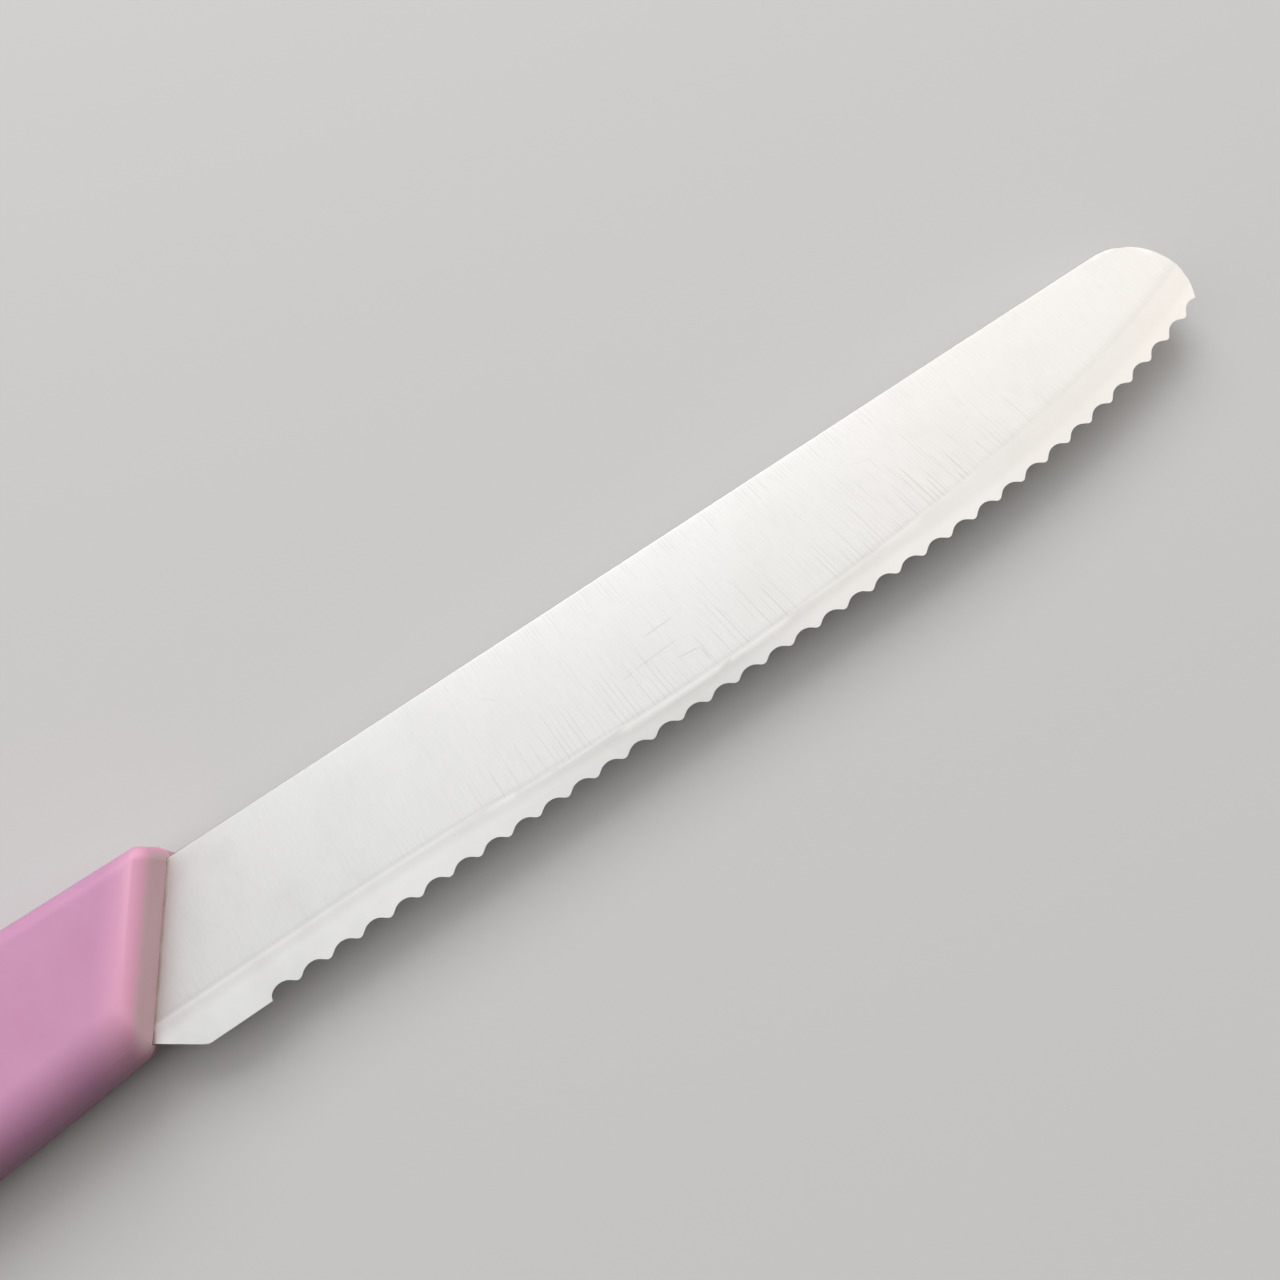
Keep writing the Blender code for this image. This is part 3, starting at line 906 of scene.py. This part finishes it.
@dataclass
class Handle:
    """The one-piece moulding: a rounded bar with a parting line and a pocket for the tang."""

    origin: Vector
    heel: Heel = Heel()
    tang: Tang = Tang()
    # Lengths are in millimetres, and the draft and turns in degrees
    thickness: float = 10.0
    draft: float = 3.0
    fillet: float = 1.8
    under_fillet: float = 4.2
    fillet_steps: int = 9
    seam_height: float = 0.05
    seam_width: float = 0.03
    front_rise: float = 1.75
    front_depth: float = 13.35
    front_top_radius: float = 1.4
    front_bottom_radius: float = 2.2
    front_zone: float = 11.4
    front_split: float = 6.0
    corner_slack: float = 0.07
    tang_gap: float = 0.02
    pocket_reach: float = 2.0
    post_sides: int = 32
    post_height: float = 4.0
    smooth_turn: float = 28.0
    node: str = "handle"

    def corners(self) -> list[Corner]:
        """The side outline, anticlockwise from the butt's underside."""
        lean = math.tan(math.radians(FRONT_ANGLE))
        return [
            Corner(-107.0, -15.2, 6.0, 14),
            Corner(-80.0, -14.1, 300.0, 10),
            Corner(-37.0, -16.5, 300.0, 14),
            Corner(-self.front_depth / lean, -self.front_depth, self.front_bottom_radius, 10),
            Corner(self.front_rise / lean, self.front_rise, self.front_top_radius, 12),
            Corner(-48.0, 2.5, 1500.0, 10),
            Corner(-105.5, 1.2, 7.0, 14),
        ]

    def wall(self, fillet: float) -> float:
        """Height over the parting line at which the wall passes into a rounding."""
        return self.thickness / 2 - fillet * (1 - math.sin(math.radians(self.draft)))

    def inset(self, height: float, fillet: float) -> float:
        """How far the side lies inside the parting line.

        Args:
            height: Height over the parting line.
            fillet: Radius of the side's rounding.

        Returns:
            The distance in millimetres.
        """
        lean = math.radians(self.draft)
        sine = math.sin(lean) + max(height - self.wall(fillet), 0.0) / fillet
        drawn_in = min(height, self.wall(fillet)) * math.tan(lean)
        return self.seam_width + drawn_in + fillet * (math.cos(lean) - math.sqrt(max(1 - sine * sine, 0.0)))

    def heights(self) -> list[float]:
        """Heights over the parting line of the rings that shape one half."""
        lean = math.radians(self.draft)
        result = [self.seam_height]
        for fillet in (self.under_fillet, self.fillet):
            wall = self.wall(fillet)
            result = [height for height in result if height < wall]
            for step in range(self.fillet_steps + 1):
                turn = lean + (math.pi / 2 - lean) * step / self.fillet_steps
                result.append(wall + fillet * (math.sin(turn) - math.sin(lean)))
        return result

    def build(self) -> bpy.types.Object:
        """Draw the handle's side, raise one half, round it over, mirror it and cut the pocket.

        Returns:
            The finished handle.
        """
        middle = Vector((self.origin.x, self.origin.y, 0.0))
        piece = flat_outline("moulded_handle", self.corners(), middle)
        self.raise_half(piece, middle)
        apply_modifier(piece, "MIRROR", use_axis=(False, False, True), merge_threshold=SAME_PLACE)
        edit(piece)
        bpy.ops.mesh.select_all(action="SELECT")
        bpy.ops.transform.translate(value=(0, 0, self.origin.z))
        bpy.ops.mesh.normals_make_consistent(inside=False)
        bpy.ops.object.mode_set(mode="OBJECT")
        cut(piece, self.pocket())
        smooth(piece, self.smooth_turn)
        piece.data.materials.clear()
        # Height of the painted highlight line on the plastic, where the wall meets the rounding
        line = self.origin.z + self.wall(self.fillet) * MM
        piece.data.materials.append(MouldedPlastic().make(self.origin, line))
        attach(piece, "root")
        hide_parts(self.node)
        return piece

    def pocket(self) -> bpy.types.Object:
        """Model the room that the tang takes, with the three plastic posts left standing in it.

        Returns:
            The cutter.
        """
        tang, grow = self.tang, self.tang_gap
        half = (tang.half_thickness + grow) * MM
        heel = self.heel.x - grow / math.sin(math.radians(self.heel.angle))
        end, shoulder = tang.end - grow, tang.shoulder - grow
        bottom, top = tang.bottom - grow, tang.top + grow
        ahead = self.front_rise / math.tan(math.radians(FRONT_ANGLE)) + self.pocket_reach
        cutter = flat_outline("tang_room", [
            Corner(end, bottom, tang.end_radius),
            Corner(heel - (bottom - self.heel.y) / self.heel.slope(), bottom),
            Corner(heel, self.heel.y),
            Corner(ahead, self.heel.y),
            Corner(ahead, grow),
            Corner(shoulder, grow),
            Corner(shoulder, top),
            Corner(end, top, tang.end_radius),
        ], self.origin - Vector((0, 0, half)))
        edit(cutter)
        bpy.ops.mesh.select_all(action="SELECT")
        bpy.ops.mesh.extrude_region_move(TRANSFORM_OT_translate={"value": (0, 0, 2 * half)})
        bpy.ops.mesh.select_all(action="SELECT")
        bpy.ops.mesh.normals_make_consistent(inside=False)
        bpy.ops.object.mode_set(mode="OBJECT")
        for place in tang.hole_places:
            deselect()
            bpy.ops.mesh.primitive_cylinder_add(
                vertices=self.post_sides, radius=(tang.hole_radius - grow) * MM,
                depth=self.post_height * MM,
                location=self.origin + Vector((place, tang.hole_y, 0.0)) * MM)
            cut(cutter, bpy.context.object)
        return cutter

    def raise_half(self, piece: bpy.types.Object, middle: Vector) -> None:
        """Raise the parting line, the drafted wall and the rounded edge as inset rings.

        Args:
            piece: The flat outline.
            middle: Where the outline's zero lies.
        """
        last_height = last_side = last_extra = 0.0
        for height in self.heights():
            side = self.inset(height, self.fillet)
            extra = self.inset(height, self.under_fillet) - side
            level = max(vertex.co.z for vertex in piece.data.vertices)
            edit(piece)
            pick(piece, "FACE", lambda spot, normal, level=level: abs(spot.z - level) < SAME_PLACE)
            bpy.ops.mesh.inset(thickness=(side - last_side) * MM, depth=(height - last_height) * MM,
                               use_even_offset=True)
            bpy.ops.object.mode_set(mode="OBJECT")
            if extra - last_extra > SAME_PLACE:
                self.draw_under_in(piece, middle, (extra - last_extra) * MM)
            if last_side < self.front_top_radius - self.corner_slack <= side:
                self.close_corner(piece, middle)
            last_height, last_side, last_extra = height, side, extra

    def close_corner(self, piece: bpy.types.Object, middle: Vector) -> None:
        """Merge the front's top corner on the top ring, where its radius has run out.

        Args:
            piece: The half in the making.
            middle: Where the outline's zero lies.
        """
        level = max(vertex.co.z for vertex in piece.data.vertices)
        front, split = middle.x - self.front_zone * MM, middle.y - self.front_split * MM
        edit(piece, "VERT")
        pick(piece, "VERT", lambda place: (
            abs(place.z - level) < SAME_PLACE and place.x > front and place.y > split))
        bpy.ops.mesh.merge(type="CENTER")
        bpy.ops.object.mode_set(mode="OBJECT")

    def draw_under_in(self, piece: bpy.types.Object, middle: Vector, amount: float) -> None:
        """Draw the top ring's underside further in than its other sides, for its larger rounding.

        Args:
            piece: The half in the making.
            middle: Where the outline's zero lies.
            amount: How much further, in metres.
        """
        butt, _, swell, heel, top = self.corners()[:5]
        centre_y = middle.y + (butt.y + butt.radius) * MM
        arc_end = middle.x + (butt.x + butt.radius) * MM
        front = middle.x - self.front_zone * MM
        along = (heel.place(middle) - swell.place(middle)).normalized()
        climb = (top.place(middle) - heel.place(middle)).normalized()
        slide = climb * (amount * along.x / (along.x * climb.y - along.y * climb.x))
        level = max(vertex.co.z for vertex in piece.data.vertices)
        low = min(vertex.co.y for vertex in piece.data.vertices
                  if abs(vertex.co.z - level) < SAME_PLACE and vertex.co.x < arc_end)

        def top_under(place: Vector, first: float, last: float, ceiling: float) -> bool:
            """Whether a point is on the top ring, between two places along it and below a third."""
            return abs(place.z - level) < SAME_PLACE and place.y < ceiling and first < place.x <= last

        split = middle.y - self.front_split * MM
        edit(piece, "VERT")
        pick(piece, "VERT", lambda place: top_under(place, -1.0, arc_end, centre_y))
        bpy.ops.transform.resize(value=(1, 1 - amount / (centre_y - low), 1),
                                 center_override=(arc_end, centre_y, level))
        pick(piece, "VERT", lambda place: top_under(place, arc_end, front, split))
        bpy.ops.transform.translate(value=(0, amount, 0))
        pick(piece, "VERT", lambda place: top_under(place, front, 1.0, split))
        bpy.ops.transform.translate(value=slide)
        bpy.ops.object.mode_set(mode="OBJECT")


@dataclass
class Studio:
    """Pale floor, a soft dome of light over the spine's side, a soft key lamp and the camera."""

    floor_size: float = 3.0
    floor_tone: float = 0.62
    floor_roughness: float = 0.9
    floor_specular: float = 0.1
    bounce_tone: float = 0.02
    dome_high: float = 1.02
    dome_back: float = 0.38
    dome_low: float = 0.015
    heel_share: float = 0.93
    tip_share: float = 1.20
    front_gain: float = 1.0
    # Zones are ranges of a part of the direction that light comes from, which runs from -1 to 1
    dark_side: tuple = (-0.38, -0.14)
    dark_turn: float = 0.25
    back_zone: tuple = (0.30, 0.60)
    tip_zone: tuple = (-0.15, 0.75)
    front_zone: tuple = (0.55, 0.85)
    warm_zone: tuple = (0.25, 0.75)
    warm: tuple = (1.0, 0.915, 0.83, 1.0)
    cool: tuple = (0.99, 0.995, 1.0, 1.0)
    key_power: float = 3.0
    key_size: float = 0.50
    key_place: tuple = (0.16, 0.50, 0.52)
    lens: float = 33.75
    sensor: float = 36.0
    shift: tuple = (0.00482, -0.05074)
    clip: float = 0.001
    camera_place: tuple = (0.030772, -0.023325, 0.110490)
    camera_right: tuple = (0.828925, -0.558565, -0.029825)
    camera_up: tuple = (0.541654, 0.788234, 0.292059)
    camera_back: tuple = (-0.139625, -0.25825, 0.955935)

    def build(self) -> None:
        """Make the floor, the light and the camera."""
        self.floor()
        self.dome()
        self.key()
        self.camera()

    def floor(self) -> None:
        """Lay the floor, pale to the camera and in gloss, with its shadow kept."""
        deselect()
        bpy.ops.mesh.primitive_plane_add(size=self.floor_size, location=(0, 0, 0))
        floor = bpy.context.object
        floor.name = "floor"
        mix = Recipe("pale_floor")
        path = mix.node("ShaderNodeLightPath")
        seen = mix.math("MAXIMUM", path.outputs["Is Camera Ray"], path.outputs["Is Glossy Ray"])
        seen = mix.math("MAXIMUM", seen, path.outputs["Is Transmission Ray"])
        dim, pale = ((tone, tone, tone, 1.0) for tone in (self.bounce_tone, self.floor_tone))
        mix.feed(mix.shader.inputs["Base Color"], mix.blend(seen, dim, pale))
        mix.shader.inputs["Roughness"].default_value = self.floor_roughness
        mix.shader.inputs["Specular IOR Level"].default_value = self.floor_specular
        floor.data.materials.append(mix.material)

    def dome(self) -> None:
        """Light the scene with a dome: bright overhead, dimmer behind, dark in front of the edge."""
        world = bpy.data.worlds.new("soft_dome")
        bpy.context.scene.world = world
        world.use_nodes = True
        mix = Tree(world.node_tree)
        towards = mix.node("ShaderNodeTexCoord").outputs["Generated"]
        x, y, z = mix.node("ShaderNodeSeparateXYZ", Vector=towards).outputs
        side = mix.math("MULTIPLY_ADD", x, self.dark_turn, y)
        strength = mix.product(mix.ramp(side, *self.dark_side), mix.ramp(z, 0.05, 0.55, 0.4, 1.0),
                               mix.ramp(y, *self.back_zone, self.dome_high, self.dome_back),
                               mix.ramp(x, *self.tip_zone, self.heel_share, self.tip_share))
        ahead = mix.math("MULTIPLY", mix.ramp(x, *self.front_zone, 0.0, self.front_gain),
                         mix.ramp(z, 0.45, 0.70, 1.0, 0.0))
        strength = mix.math("MULTIPLY", strength, mix.math("ADD", ahead, 1.0))
        strength = mix.math("ADD", strength, self.dome_low)
        tint = mix.blend(mix.ramp(x, *self.warm_zone), self.cool, self.warm)
        seen = mix.node("ShaderNodeLightPath").outputs["Is Camera Ray"]
        back = mix.tree.nodes["Background"]
        mix.feed(back.inputs["Color"], mix.blend(seen, tint, (1.0, 1.0, 1.0, 1.0)))
        strength = mix.math("MULTIPLY", strength, mix.math("SUBTRACT", 1.0, seen))
        mix.feed(back.inputs["Strength"], mix.math("MULTIPLY_ADD", seen, self.floor_tone, strength))

    def key(self) -> None:
        """Hang one large soft lamp behind the spine's side."""
        lamp = bpy.data.lights.new("soft_key", "AREA")
        lamp.shape = "SQUARE"
        lamp.size = self.key_size
        lamp.energy = self.key_power
        key = bpy.data.objects.new("soft_key", lamp)
        bpy.context.scene.collection.objects.link(key)
        key.location = self.key_place
        key.rotation_euler = Vector(self.key_place).to_track_quat("Z", "Y").to_euler()

    def camera(self) -> None:
        """Set up the camera at the photograph's viewing angle."""
        data = bpy.data.cameras.new("view")
        data.sensor_width = self.sensor
        data.lens = self.lens
        data.shift_x, data.shift_y = self.shift
        data.clip_start = self.clip
        camera = bpy.data.objects.new("view", data)
        bpy.context.scene.collection.objects.link(camera)
        turn = Matrix((self.camera_right, self.camera_up, self.camera_back)).transposed().to_4x4()
        turn.translation = Vector(self.camera_place)
        camera.matrix_world = turn
        bpy.context.scene.camera = camera


def main() -> None:
    """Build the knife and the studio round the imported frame."""
    logging.basicConfig(level=logging.INFO, format="%(name)s: %(message)s")
    for part in (Blade(SPINE_START), Handle(SPINE_START)):
        piece = part.build()
        LOG.info("%s: %d faces", piece.name, len(piece.data.polygons))
    Studio().build()
    bpy.context.scene.view_settings.view_transform = "Standard"


if __name__ == "__main__":
    main()
